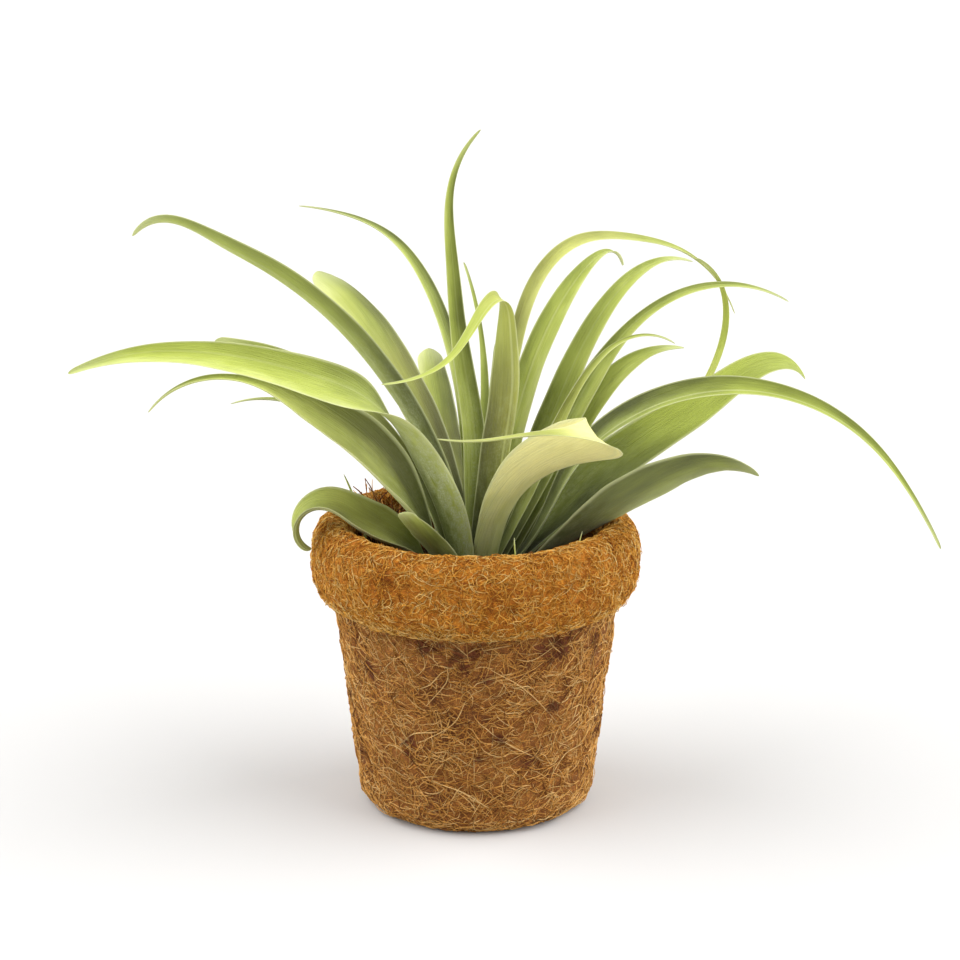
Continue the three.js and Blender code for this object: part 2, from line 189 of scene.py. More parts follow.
FILLING_OUTLINE = ((0.5, 60), (42, 60), (43.4, 66), (43.4, 75.5), (40, 77), (30, 78), (16, 78.8), (0.5, 79))
TURNS = 360              # points round a turned body
OUTLINE_SAMPLES = 400    # points along an outline that carries fibres
MEAN_WALL_RADIUS = 45
HEM_TOP = 86             # the uneven hem lifts the felt below this height
HEM_REACH = 14           # and lifts it fully this far below
TUBE_SIDES = 3           # of a fibre, whose ends are closed by one triangle each

# ---- Dark stains in the coir: degrees from the front (right is +), height, half-width, half-height ----
STAINS = ((-18, 68, 9, 3.5), (-4, 66, 7, 5), (32, 66, 8, 6), (4, 58, 4, 3), (-6, 61, 4, 3), (35, 44, 3, 3),
          (-31, 31, 3.5, 7), (10, 36, 4, 3), (25, 28, 5, 3.5), (43, 3, 7, 3), (2, 29, 3, 2),
          (58, 62, 5, 6), (-50, 55, 5, 4), (-65, 20, 6, 5), (75, 30, 6, 6), (105, 60, 9, 4),
          (140, 25, 6, 8), (178, 64, 12, 4), (200, 40, 5, 5), (235, 15, 8, 4), (260, 66, 9, 4),
          (285, 40, 5, 6))

# ---- Long pale straws that lie on the wall: degrees from the front and height, end to end ----
STRAWS = (((-11, 62), (-12, 56), (-21, 47)), ((4, 62), (19, 54), (37, 39)),
          ((-4, 50), (-10, 41), (-26, 33)), ((16, 64), (23, 63), (32, 67)),
          ((1, 42), (14, 34), (31, 26)), ((-3, 66), (-7, 69), (-12, 72)),
          ((-36, 30), (-28, 36), (-17, 38)), ((-20, 20), (-6, 17), (6, 11)),
          ((36, 20), (44, 26), (57, 27)))

# ---- A tuft of dry threads inside the rim, at the back left: foot, heading and number of threads ----
TUFT_FOOT = (-31, 16, 77.5)
TUFT_HEADING = 145
TUFT_THREADS = 90

# ---- Camera, in metres and degrees ----
CAMERA_TARGET = (0.00136, 0, 0.1115)
CAMERA_DISTANCE = 0.8
CAMERA_ELEVATION = 15
CAMERA_LENS = 90


# ======================== Shapes ========================

def along(values, share):
    """A smooth curve through evenly spaced values, read at share 0 to 1 (Catmull-Rom)."""
    values = np.asarray(values, float)
    if len(values) == 1:
        return np.full_like(share, values[0])
    padded = np.concatenate([[2 * values[0] - values[1]], values, [2 * values[-1] - values[-2]]])
    place = np.clip(share, 0, 1) * (len(values) - 1)
    i = np.minimum(place.astype(int), len(values) - 2)
    t = place - i
    before, a, b, after = padded[i], padded[i + 1], padded[i + 2], padded[i + 3]
    return 0.5 * (2 * a + (b - before) * t + (2 * before - 5 * a + 4 * b - after) * t**2
                  + (3 * a - before - 3 * b + after) * t**3)


def smooth_step(value, low, high):
    """0 below low, 1 above high and a smooth rise between them."""
    t = np.clip((value - low) / (high - low), 0, 1)
    return t * t * (3 - 2 * t)


def lumps(turn, rise, around, up, rng):
    """Soft random hills from -1 to 1: heights on a lattice that closes round the turn, joined smoothly."""
    lattice = rng.uniform(-1, 1, (around, up + 2))
    a = (turn % 1) * around
    b = np.clip(rise, 0, 1) * up
    i, j = a.astype(int) % around, b.astype(int)
    fa, fb = smooth_step(a % 1, 0, 1), smooth_step(b % 1, 0, 1)
    low = lattice[i, j] * (1 - fa) + lattice[(i + 1) % around, j] * fa
    high = lattice[i, j + 1] * (1 - fa) + lattice[(i + 1) % around, j + 1] * fa
    return low * (1 - fb) + high * fb


def unit(vectors):
    """Vectors of length one."""
    return vectors / np.maximum(np.linalg.norm(vectors, axis=-1, keepdims=True), 1e-12)


def put(name, points, quads, triangles, marks):
    """A smooth mesh object from points in metres, faces, and named values that its finish reads."""
    mesh = bpy.data.meshes.new(name)
    quads, triangles = np.asarray(quads).reshape(-1, 4), np.asarray(triangles).reshape(-1, 3)
    corners = np.concatenate([quads.ravel(), triangles.ravel()]).astype(np.int32)
    starts = np.concatenate([np.arange(len(quads)) * 4, quads.size + np.arange(len(triangles)) * 3])
    mesh.vertices.add(len(points))
    mesh.vertices.foreach_set("co", points.astype(np.float32).ravel())
    mesh.loops.add(len(corners))
    mesh.loops.foreach_set("vertex_index", corners)
    mesh.polygons.add(len(starts))
    mesh.polygons.foreach_set("loop_start", starts.astype(np.int32))
    mesh.polygons.foreach_set("use_smooth", np.ones(len(starts), bool))
    for key, values in marks.items():
        flat = values.ndim == 1
        layer = mesh.attributes.new(key, "FLOAT" if flat else "FLOAT_VECTOR", "POINT")
        layer.data.foreach_set("value" if flat else "vector", values.astype(np.float32).ravel())
    mesh.update(calc_edges=True)
    piece = bpy.data.objects.new(name, mesh)
    bpy.context.scene.collection.objects.link(piece)
    return piece


def loft(rings):
    """A closed skin over rings of equal size: quads from ring to ring and a fan over each end's middle."""
    rows, size = rings.shape[:2]
    k, j = np.meshgrid(np.arange(rows - 1), np.arange(size), indexing="ij")
    here, beside = k * size + j, k * size + (j + 1) % size
    quads = np.stack([here, here + size, beside + size, beside], axis=-1)
    foot, tip = rows * size, rows * size + 1
    j = np.arange(size)
    beside = (j + 1) % size
    last = (rows - 1) * size
    fans = np.concatenate([
        np.stack([np.full(size, foot), j, beside], axis=-1),
        np.stack([np.full(size, tip), last + beside, last + j], axis=-1)])
    points = np.concatenate([rings.reshape(-1, 3), rings[[0, -1]].mean(axis=1)])
    return points, quads, fans


def tubes(paths, normals, radii):
    """Thin closed tubes round many paths at once: rings of three points, square to the path's direction."""
    count, steps = paths.shape[:2]
    ahead = unit(np.gradient(paths, axis=1))
    across = unit(np.cross(ahead, normals))
    outward = np.cross(across, ahead)
    angle = (np.arange(TUBE_SIDES) * 2 * math.pi / TUBE_SIDES)[:, None]
    ring = np.cos(angle) * outward[:, :, None] + np.sin(angle) * across[:, :, None]
    points = paths[:, :, None] + radii[:, :, None, None] * ring
    n, k, j = np.meshgrid(np.arange(count), np.arange(steps - 1), np.arange(TUBE_SIDES), indexing="ij")
    start = (n * steps + k) * TUBE_SIDES
    here, beside = start + j, start + (j + 1) % TUBE_SIDES
    quads = np.stack([here, beside, beside + TUBE_SIDES, here + TUBE_SIDES], axis=-1)
    first = (np.arange(count) * steps * TUBE_SIDES)[:, None]
    last = first + (steps - 1) * TUBE_SIDES
    caps = np.concatenate([first + [0, 2, 1], last + [0, 1, 2]])
    return points.reshape(-1, 3), quads, caps


# ======================== Leaves ========================

def leaning(heading, lean):
    """Directions of length one, leaning from upright towards a heading, both in radians."""
    return np.stack([np.sin(lean) * np.cos(heading), np.sin(lean) * np.sin(heading), np.cos(lean)], axis=-1)


def directions(leaf, s):
    """Along the blade, out of its upper face and to its side, at shares s: heading, lean and then roll."""
    heading, lean, roll = (np.radians(along(leaf[key], s)) for key in ("heading", "lean", "roll"))
    ahead = leaning(heading, lean)
    up = np.column_stack([-np.cos(lean) * np.cos(heading), -np.cos(lean) * np.sin(heading), np.sin(lean)])
    side = np.column_stack([-np.sin(heading), np.cos(heading), np.zeros_like(s)])
    cos, sin = np.cos(roll)[:, None], np.sin(roll)[:, None]
    return ahead, up * cos + np.cross(ahead, up) * sin, side * cos + np.cross(ahead, side) * sin


def blade_path(leaf, s):
    """The middle line of a blade, in millimetres: its directions summed up in small steps from its foot."""
    marks = np.linspace(0, 1, PATH_STEPS + 1)
    ahead = directions(leaf, (marks[1:] + marks[:-1]) / 2)[0] * leaf["length"] / PATH_STEPS
    heading = math.radians(leaf["heading"][0])
    on_stem = (leaf["base"] * math.cos(heading), leaf["base"] * math.sin(heading), LEAF_START)
    foot = leaf.get("foot", on_stem)
    points = np.vstack([foot, foot + np.cumsum(ahead, axis=0)])
    return np.column_stack([np.interp(s, marks, points[:, axis]) for axis in range(3)])


def sway(s, rng, waves):
    """A slow random wave along a blade, from about -1 to 1: a few sines with random phases."""
    phases = rng.uniform(0, 2 * math.pi, len(waves))
    return sum(np.sin(2 * math.pi * wave * s + phase) for wave, phase in zip(waves, phases)) / len(waves)


def blade_rows(length, round_off):
    """Distances from the tip, in millimetres: even along the blade, then closing in on the rounded tip."""
    even = np.linspace(length, round_off, max(int(length / LEAF_ROW_STEP), 4))
    return np.concatenate([even, round_off * (1 - np.cos(np.linspace(math.pi / 2, 0, 8)))[1:]])


def blade(name, leaf, number):
    """A leaf: arcs of the channel's angle set along its line, thick in the middle and thin at the margins.

    The foot hugs the stem and opens to the channel. A point across the blade lies at
    half * sin(angle) / bend to the side and half * (1 - cos(angle)) / bend up, plus its lift square to the
    face. The upper face has a shallow groove along the middle, the lower face a low keel, and the margins
    wander a little. The tip is rounded off by a circle, which is small on a pointed leaf.
    """
    rng = np.random.default_rng(100 + number)
    length = leaf["length"]
    round_off = max(3.0, leaf["width"][-1] / 2)
    to_tip = blade_rows(length, round_off)
    s = 1 - to_tip / length
    _, up, side = directions(leaf, s)
    middle = blade_path(leaf, s)
    taper = np.sqrt(1 - np.clip(1 - to_tip / round_off, 0, 0.9999) ** 2)
    half = np.maximum(along(leaf["width"], s), NARROWEST) / 2 * taper
    half = half * (1 + 0.03 * sway(s, rng, (1.5, 4, 7)))
    opening = smooth_step(s, 0, SHEATH_SHARE)
    channel = np.radians(along(np.atleast_1d(leaf["channel"]), s)) * (1 + 0.1 * sway(s, rng, (1, 2.5, 4.5)))
    bend = (half / leaf["base"] * (1 - opening) + channel * opening)[:, None]
    full = (np.minimum(THICKEST - 0.5 * s, 0.3 * half + 0.12) * (0.3 + 0.7 * taper))[:, None]

    u = np.sin(np.linspace(-math.pi / 2, math.pi / 2, LEAF_COLUMNS))[None]
    half = half[:, None]
    across_mm = u * half
    thick = full * (0.2 + 0.8 * (1 - u**2))
    groove = np.exp(-(across_mm / GROOVE_WIDTH) ** 2) * np.minimum(full, GROOVE_DEPTH)
    ripple = 0.05 * np.sin(across_mm * 2.2 + 3 * sway(s, rng, (1, 2))[:, None]) * opening[:, None]
    top = thick / 2 - groove + ripple
    under = -thick / 2 - 0.8 * groove + ripple
    edge = 1 + 0.04 / np.maximum(half, 0.2)
    spread = np.hstack([np.repeat(u, len(s), 0), edge, np.repeat(u[:, ::-1], len(s), 0), -edge])
    lift = np.hstack([top, 0 * edge, under[:, ::-1], 0 * edge])
    upper = np.concatenate([np.ones(LEAF_COLUMNS), [0.5], np.zeros(LEAF_COLUMNS), [0.5]])

    angle = spread * bend
    sideways = half * spread * np.sinc(angle / math.pi) - lift * np.sin(angle)
    rise = half * spread**2 * bend / 2 * np.sinc(angle / 2 / math.pi) ** 2 + lift * np.cos(angle)
    rings = middle[:, None] + side[:, None] * sideways[:, :, None] + up[:, None] * rise[:, :, None]
    points, quads, fans = loft(rings * MM)

    size = rings.shape[1]
    share = np.stack([spread, np.repeat(s[:, None], size, 1), np.repeat(upper[None], len(s), 0)], axis=-1)
    place = np.stack([spread * half, np.repeat(s[:, None] * length, size, 1),
                      np.full(spread.shape, PATTERN_STEP * number)], axis=-1)
    marks = {key: np.concatenate([grid.reshape(-1, 3), grid[[0, -1], 0]])
             for key, grid in (("blade_share", share), ("blade_mm", place))}
    marks["blade_look"] = np.tile(np.array(leaf["look"], float), (len(points), 1))
    # The painted highlight line and the painted shade of the flank beside it.
    marks["blade_fold"] = np.tile(np.array(leaf["painted_light"], float), (len(points), 1))
    return put(name, points, quads, fans, marks)


# ======================== Pot ========================

def smooth_outline(points, count):
    """Evenly spaced samples of a smooth curve through (radius, height) points."""
    share = np.linspace(0, 1, 40 * len(points))
    line = np.column_stack([along([p[axis] for p in points], share) for axis in (0, 1)])
    run = np.concatenate([[0], np.cumsum(np.linalg.norm(np.diff(line, axis=0), axis=1))])
    at = np.linspace(0, run[-1], count)
    return np.column_stack([np.interp(at, run, line[:, axis]) for axis in (0, 1)]), run[-1]


def outline_normals(line, closed):
    """Outward normals of an outline that runs up its outside, as (radius, height) parts."""
    if closed:
        step = np.roll(line, -1, axis=0) - np.roll(line, 1, axis=0)
    else:
        step = np.gradient(line, axis=0)
    return unit(np.column_stack([step[:, 1], -step[:, 0]]))


def turned(name, line, closed, relief, marks, first, last_row):
    """A body turned from an outline, closed round or with two poles, and raised by relief(turn, share).

    The share runs from 0 at the outline's first raised point to 1 at the last.
    """
    count = len(line)
    turn = np.arange(TURNS) / TURNS
    normal = outline_normals(line, closed)
    share = np.clip((np.arange(count)[:, None] - first) / (last_row - first), 0, 1)
    height = relief(turn[None], share)
    radius = line[:, :1] + normal[:, :1] * height
    rise = line[:, 1:] + normal[:, 1:] * height
    angle = 2 * math.pi * turn[None]
    points = np.stack([radius * np.sin(angle), -radius * np.cos(angle), rise], axis=-1)
    rows = count if closed else count - 1
    i, j = np.meshgrid(np.arange(rows), np.arange(TURNS), indexing="ij")
    above, beside = (i + 1) % count * TURNS, (j + 1) % TURNS
    quads = np.stack([i * TURNS + j, i * TURNS + beside, above + beside, above + j], axis=-1)
    flat = points.reshape(-1, 3) * MM
    values = marks(np.repeat(turn[None], count, 0), rise)
    fans = []
    if not closed:
        j = np.arange(TURNS)
        low, high = count * TURNS, count * TURNS + 1
        last = (count - 1) * TURNS
        fans = np.concatenate([
            np.stack([np.full(TURNS, low), (j + 1) % TURNS, j], axis=-1),
            np.stack([np.full(TURNS, high), last + j, last + (j + 1) % TURNS], axis=-1)])
        flat = np.vstack([flat, [0, 0, points[0, :, 2].mean() * MM], [0, 0, points[-1, :, 2].mean() * MM]])
        values = {key: np.concatenate([grid.ravel(), grid[[0, -1], 0]]) for key, grid in values.items()}
    else:
        values = {key: grid.ravel() for key, grid in values.items()}
    return put(name, flat, quads, fans, values)


def stain(turn, height):
    """How stained the coir is, 0 to 1: soft ovals at the places in STAINS."""
    total = np.zeros(np.broadcast(turn, height).shape)
    for degrees, middle, half_width, half_height in STAINS:
        away = ((turn - degrees / 360 + 0.5) % 1 - 0.5) * 2 * math.pi * MEAN_WALL_RADIUS
        oval = (away / half_width) ** 2 + ((height - middle) / half_height) ** 2
        total = np.maximum(total, np.exp(-oval))
    return total


def strands(name, outline, count, spec, relief, seed):
    """A mat of fibres on a turned surface: each starts anywhere, bends steadily, arches and dips its ends.

    In the unrolled surface a fibre's direction changes by its curl and a wave. Its offset from the surface
    is the relief and its depth plus an arch, and its radius thins towards both ends.
    """
    rng = np.random.default_rng(seed)
    line, run = smooth_outline(outline, OUTLINE_SAMPLES)
    normal = outline_normals(line, False)
    t = np.linspace(0, 1, spec["steps"])[None]
    length = rng.uniform(*spec["length"], (count, 1)) * rng.uniform(0.5, 1, (count, 1))
    bow = rng.normal(0, spec["curl"], (count, 1)) * length
    swing = rng.normal(0, spec["wave"], (count, 1))
    wave = swing * np.sin(2 * math.pi * (t + rng.uniform(0, 1, (count, 1))))
    direction = rng.vonmises(0, spec["level"], (count, 1)) / 2 + bow * (t - 0.5) + wave
    step = length / (spec["steps"] - 1)
    rise = np.cumsum(np.sin(direction) * step, axis=1) + rng.uniform(0, run, (count, 1))
    low, high = spec["reach"]
    rise = low + np.abs(rise - low)
    rise = (run + high) - np.abs(run + high - rise)
    radius_here = np.interp(rise, np.linspace(0, run, len(line)), line[:, 0])
    turned_by = np.cumsum(np.cos(direction) * step / radius_here, axis=1) / 2 / math.pi
    turn = rng.uniform(0, 1, (count, 1)) + turned_by
    return fibre_mesh(name, line, normal, run, turn, rise, t, spec, relief, rng)


def fibre_mesh(name, line, normal, run, turn, rise, t, spec, relief, rng):
    """Tubes along paths given by turn and rise on a turned surface, with each fibre's tone and stain."""
    count = len(rise)
    at = np.linspace(0, run, len(line))
    radius, height = (np.interp(rise, at, line[:, axis]) for axis in (0, 1))
    out, lean = (np.interp(rise, at, normal[:, axis]) for axis in (0, 1))
    below = np.minimum(rise, 0)
    arch = np.abs(rng.normal(0, spec["arch"], (count, 1)))
    offset = relief(turn, rise / run) + rng.uniform(*spec["depth"], (count, 1)) + arch * np.sin(math.pi * t)
    radius, height = radius + out * offset, np.maximum(height + lean * offset + below, 0.25)
    angle = 2 * math.pi * turn
    outward = np.stack([out * np.sin(angle), -out * np.cos(angle), lean], axis=-1)
    paths = np.stack([radius * np.sin(angle), -radius * np.cos(angle), height], axis=-1)
    taper = 0.35 + 0.65 * np.sin(math.pi * np.clip(t, 0.02, 0.98)) ** 0.5
    thin = rng.uniform(*spec["radius"], (count, 1)) * taper
    points, quads, caps = tubes(paths * MM, outward, thin * MM)
    tone = np.clip(rng.normal(spec["tone"], spec["spread"], (count, 1)) + 0 * turn, 0, 1)
    stained = stain(turn, height) * rng.uniform(0.3, 1.3, (count, 1))
    marks = {"tone": np.repeat(tone.ravel(), TUBE_SIDES), "stain": np.repeat(stained.ravel(), TUBE_SIDES)}
    return put(name, points, quads, caps, marks)


def straws():
    """The long pale straws: smooth lines through listed points on the wall, just proud of the mat."""
    rng = np.random.default_rng(71)
    line, run = smooth_outline(WALL_OUTSIDE, OUTLINE_SAMPLES)
    t = np.linspace(0, 1, 9)
    turn = np.array([along([p[0] / 360 for p in straw], t) for straw in STRAWS])
    height = np.array([along([p[1] for p in straw], t) for straw in STRAWS])
    rise = np.interp(height, line[:, 1], np.linspace(0, run, len(line)))
    spec = dict(depth=(0.5, 0.7), arch=0.4, radius=(0.16, 0.24), tone=0.97, spread=0.03)
    normal = outline_normals(line, False)
    return fibre_mesh("long_straws", line, normal, run, turn, rise, t[None], spec, wall_relief, rng)


def dry_tuft():
    """A tangle of dry threads from one spot of the filling: each leans over more and turns as it goes."""
    rng = np.random.default_rng(81)
    t = np.linspace(0, 1, 10)[None]
    size = (TUFT_THREADS, 1)
    heading = np.radians(TUFT_HEADING + rng.normal(0, 40, size) + rng.normal(0, 60, size) * t)
    lean = np.radians(rng.uniform(4, 22, size) + rng.uniform(10, 120, size) * t**2)
    step = rng.uniform(20, 31, size)[:, :, None] / t.size
    feet = TUFT_FOOT + rng.normal(0, 1, (TUFT_THREADS, 3)) * (2.5, 2.5, 0.3)
    paths = feet[:, None] + np.cumsum(leaning(heading, lean) * step, axis=1)
    thin = rng.uniform(0.2, 0.4, size) * (0.3 + 0.7 * np.sin(math.pi * np.clip(t, 0.1, 0.97)) ** 0.5)
    points, quads, caps = tubes(paths * MM, np.broadcast_to((0.3, -1.0, 0.2), paths.shape), thin * MM)
    tone = np.repeat((rng.uniform(0, 0.7, size) + 0 * t).ravel(), TUBE_SIDES)
    return put("dry_tuft", points, quads, caps, {"tone": tone, "stain": 0 * tone})


def wall_relief(turn, share):
    """The wall's swells and hollows, in millimetres, by share of the outline, level at both its ends."""
    rng = np.random.default_rng(11)
    swell = 0.45 * lumps(turn, share, 22, 10, rng) + 0.3 * lumps(turn, share, 90, 40, rng) - 0.55
    return smooth_step(share, 0.0, 0.12) * (1 - smooth_step(share, 0.97, 1)) * swell


def band_relief(turn, share):
    """The felt's swells and hollows, in millimetres, and finer tufts between them."""
    rng = np.random.default_rng(12)
    swell = 0.5 * lumps(turn, share, 16, 6, rng) + 0.3 * lumps(turn, share, 110, 34, rng) - 0.25
    return smooth_step(share, 0, 0.03) * (1 - smooth_step(share, 0.95, 1)) * swell


def hem_relief(turn, share):
    """The frayed fibres of the hem lie close on the felt, in millimetres."""
    return 0.1 + 0 * turn


def filling_relief(turn, share):
    """Heaps of packed fibre, in millimetres, on the top only."""
    rng = np.random.default_rng(13)
    return smooth_step(share, 0.5, 0.62) * (0.9 * lumps(turn, share, 26, 14, rng) - 0.6)


def hem_lift(turn):
    """How far the band's lower edge is raised, in millimetres: unevenly, and more at the sides."""
    rng = np.random.default_rng(14)
    sides = 1.3 * np.sin(2 * math.pi * turn) ** 2
    return sides + 0.5 + 0.5 * lumps(turn, 0 * turn, 30, 1, rng) + 0.4 * lumps(turn, 0 * turn, 9, 1, rng)


def raise_hem(piece):
    """Lifts the lower part of the felt by the uneven hem, fully at the edge and less above it."""
    points = np.empty(len(piece.data.vertices) * 3, np.float32)
    piece.data.vertices.foreach_get("co", points)
    points = points.reshape(-1, 3)
    turn = np.arctan2(points[:, 0], -points[:, 1]) / 2 / math.pi
    points[:, 2] += hem_lift(turn) * MM * smooth_step(HEM_TOP * MM - points[:, 2], 0, HEM_REACH * MM)
    piece.data.vertices.foreach_set("co", points.ravel())
    piece.data.update()
    return piece


def coir_marks(tone):
    """Marks for a turned coir body: one tone all over and the stains."""
    return lambda turn, height: {"tone": np.full(turn.shape, tone), "stain": stain(turn, height)}


# ======================== Finishes ========================

def paint(code):
    """A linear colour from a six-figure screen colour."""
    parts = [int(code[i:i + 2], 16) / 255 for i in (0, 2, 4)]
    return (*[c / 12.92 if c <= 0.04045 else ((c + 0.055) / 1.055) ** 2.4 for c in parts], 1)


class Value:
    """A number or colour that a finish works out. Arithmetic on it adds Math nodes."""

    def __init__(self, finish, socket):
        self.finish = finish
        self.socket = socket

    def maths(self, operation, a, b):
        return self.finish.node("ShaderNodeMath", {"operation": operation}, {0: a, 1: b})

    def __add__(self, other):
        return self.maths("ADD", self, other)

    def __sub__(self, other):
        return self.maths("SUBTRACT", self, other)

    def __rsub__(self, other):
        return self.maths("SUBTRACT", other, self)

    def __mul__(self, other):
        return self.maths("MULTIPLY", self, other)

    def __abs__(self):
        return self.maths("ABSOLUTE", self, 0)

    __radd__ = __add__
    __rmul__ = __mul__


class Finish:
    """A material in the making."""

    def __init__(self, name):
        self.material = bpy.data.materials.new(name)
        self.material.use_nodes = True
        self.tree = self.material.node_tree
        self.tree.nodes.clear()

    def node(self, kind, settings=None, values=None, output=0):
        """A node of a kind: its settings are set first, then its sockets get values or links."""
        made = self.tree.nodes.new(kind)
        for key, setting in (settings or {}).items():
            if key == "stops":
                self.set_stops(made.color_ramp.elements, setting)
            else:
                setattr(made, key, setting)
        for key, value in (values or {}).items():
            if isinstance(value, Value):
                self.tree.links.new(value.socket, made.inputs[key])
            else:
                made.inputs[key].default_value = value
        return Value(self, made.outputs[output]) if len(made.outputs) else None

    @staticmethod
    def set_stops(elements, stops):
        while len(elements) < len(stops):
            elements.new(1)
        for element, (place, colour) in zip(elements, stops):
            element.position = place
            element.color = paint(colour)

    def mark(self, name, output="Vector"):
        return self.node("ShaderNodeAttribute", {"attribute_name": name}, output=output)

    def parts(self, vector):
        return [self.node("ShaderNodeSeparateXYZ", None, {0: vector}, axis) for axis in range(3)]

    def scaled(self, vector, scale):
        return self.node("ShaderNodeVectorMath", {"operation": "MULTIPLY"}, {0: vector, 1: scale})

    def noise(self, vector, scale, detail, distortion=0.0):
        values = {"Vector": vector, "Scale": scale, "Detail": detail, "Distortion": distortion}
        return self.node("ShaderNodeTexNoise", None, values)

    def ramp(self, value, *stops):
        return self.node("ShaderNodeValToRGB", {"stops": stops}, {0: value})

    def step(self, value, low, high):
        values = {"Value": value, "From Min": low, "From Max": high}
        return self.node("ShaderNodeMapRange", {"interpolation_type": "SMOOTHSTEP"}, values)

    def mix(self, share, a, b, blend="MIX"):
        settings = {"data_type": "RGBA", "blend_type": blend, "clamp_factor": True}
        return self.node("ShaderNodeMix", settings, {0: share, 6: a, 7: b}, 2)

    def shade(self, colour, amount):
        """The colour made darker or lighter by an amount."""
        grey = self.node("ShaderNodeCombineXYZ", None, {0: amount, 1: amount, 2: amount})
        return self.mix(1.0, colour, grey, "MULTIPLY")

    def close(self, colour, roughness, bumps, constants):
        """The surface: its colour, roughness, chain of bumps (height, depth in metres) and constants."""
        values = {"Base Color": colour, "Roughness": roughness, **constants}
        normal = None
        for height, depth in bumps:
            bump = {"Height": height, "Distance": depth, "Strength": 1.0}
            if normal:
                bump["Normal"] = normal
            normal = self.node("ShaderNodeBump", None, bump)
        if normal:
            values["Normal"] = normal
        skin = self.node("ShaderNodeBsdfPrincipled", None, values)
        self.node("ShaderNodeOutputMaterial", None, {"Surface": skin})
        return self.material


LEAF_GREENS = ((0.0, "434A10"), (0.25, "697226"), (0.5, "8C973C"), (0.75, "AEB856"), (1.0, "D0D68A"))
LEAF_TANS = ((0.0, "7C7436"), (0.5, "CCC470"), (1.0, "F8F0A0"))


def leaf_skin():
    """Leaf: dark olive where painted shade lies on one flank and pale on the other, with painted highlights
    on the margins and along one line, and a frosty bloom.

    How light it is sums up the flank's painted shade, slow patches, lines along the blade, the leaf's
    darkness (partly painted shade) and the share from foot to tip, with painted shade towards the foot. A
    tan leaf turns
    A tan leaf turns green again towards its tip. The bloom lies on the lower half, mostly on the underside.
    """
    f = Finish("leaf_skin")
    across, share, upper = f.parts(f.mark("blade_share"))
    place = f.mark("blade_mm")
    # How lime and how tan the leaf is, and how dark: partly its own tone, partly painted shade from the
    # leaves around it.
    lime, tan, dark = f.parts(f.mark("blade_look"))
    dark = dark * (1 - f.step(share, 0.62, 0.8) * tan * 1.3)
    # Where a painted highlight line runs, how much painted shade darkens the flank beside it, and how clear
    # the line is.
    highlight_place, shade_flank, line = f.parts(f.mark("blade_fold"))
    lines = f.noise(f.scaled(place, (3.2, 0.04, 1)), 1.0, 2.0)
    fine_lines = f.noise(f.scaled(place, (9.0, 0.1, 1)), 1.0, 1.0)
    patches = f.noise(f.scaled(place, (0.16, 0.05, 1)), 1.0, 2.0)
    scurf = f.noise(f.scaled(place, (2.6, 1.3, 1)), 1.0, 3.0)
    flecks = f.noise(f.scaled(place, (0.5, 0.22, 1)), 1.0, 2.0)

    # Painted shade: one flank of the channel is darker than the other, by the flank amount.
    light = 0.38 - (across - highlight_place) * shade_flank * 0.5 + (patches - 0.5) * 0.7 + (lines - 0.5) * 0.16
    # Darker towards the foot, painted shade where leaves shade each other, and darker on a dark leaf,
    # partly painted shade.
    light = light + share * 0.25 - dark * 0.5
    green = f.ramp(light, *LEAF_GREENS)
    green = f.mix((1 - upper) * 0.12, green, paint("A2A674"))
    green = f.mix(lime * f.step(share, 0.3, 0.65) * 0.5, green, paint("C2D054"))
    tanned = f.ramp(light, *LEAF_TANS)
    colour = f.mix(tan * f.step(share, 0.08, 0.4) * (0.85 - f.step(share, 0.62, 0.75) * 0.6), green, tanned)
    frost = (1 - f.step(share, 0.15, 0.6)) * (1.2 - upper * 0.8) * f.step(flecks, 0.25, 0.6)
    frost = frost * (0.35 + f.step(scurf, 0.4, 0.65) * 0.65) * (0.25 + f.step(light, 0.05, 0.45) * 0.75)
    frost = frost * (1 - tan * 0.7)
    colour = f.mix(frost * 0.68, colour, paint("C0C7A2"))
    # Painted highlight: a pale line along the blade where its wall catches the light.
    colour = f.mix(line * (1 - f.step(abs(across - highlight_place), 0.02, 0.12)) * 0.5, colour, paint("CDD294"))
    # Painted highlight: the margins pale where they catch the light.
    colour = f.mix(f.step(abs(across), 0.86, 0.99) * 0.6, colour, paint("CFD3A0"))
    tip = f.step(share, 0.86, 1.0)
    colour = f.mix(tip * (0.55 - dark), colour, paint("CDD39A"))
    # Painted shade: the foot darker, where the leaves crowd and shade each other.
    foot = 0.45 + f.step(share, -0.05, 0.22) * 0.55
    colour = f.shade(colour, (0.86 + fine_lines * 0.28) * foot)
    bumps = ((lines, 0.0003), (fine_lines, 0.0001), (scurf, 0.00004))
    return f.close(colour, 0.5 + frost * 0.3, bumps, {
        "Subsurface Weight": 0.1, "Subsurface Radius": (0.9, 1.0, 0.25), "Subsurface Scale": 0.001,
        "Specular IOR Level": 0.35, "Sheen Weight": 0.08, "Sheen Roughness": 0.5})


